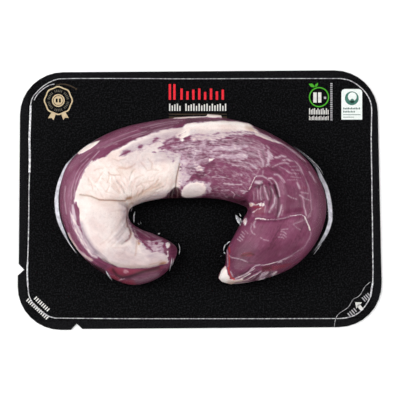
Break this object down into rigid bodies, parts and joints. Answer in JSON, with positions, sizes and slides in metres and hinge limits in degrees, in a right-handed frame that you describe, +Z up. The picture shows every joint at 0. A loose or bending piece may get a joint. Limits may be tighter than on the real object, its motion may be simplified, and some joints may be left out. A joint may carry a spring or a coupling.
{
  "type": "raw pork tenderloin in a skin pack",
  "caption": "Whole raw pork tenderloin lying in a bow on a flat black card under clear skin film, with a raised seal line near the card's edge.",
  "frame": {"origin": "middle of the card's box at its underside", "axes": "+X along the card's long side, +Y towards the card's back edge behind the closed side of the bow, +Z up off the card"},
  "size_m": [0.25, 0.18, 0.0404],
  "materials": {
    "card": "black coated board",
    "meat": "moist raw pork with white fat",
    "film": "clear skin film"
  },
  "bodies": {
    "root": {"card": "card", "tenderloin": "meat", "skin_film": "film"}
  },
  "joints": []
}
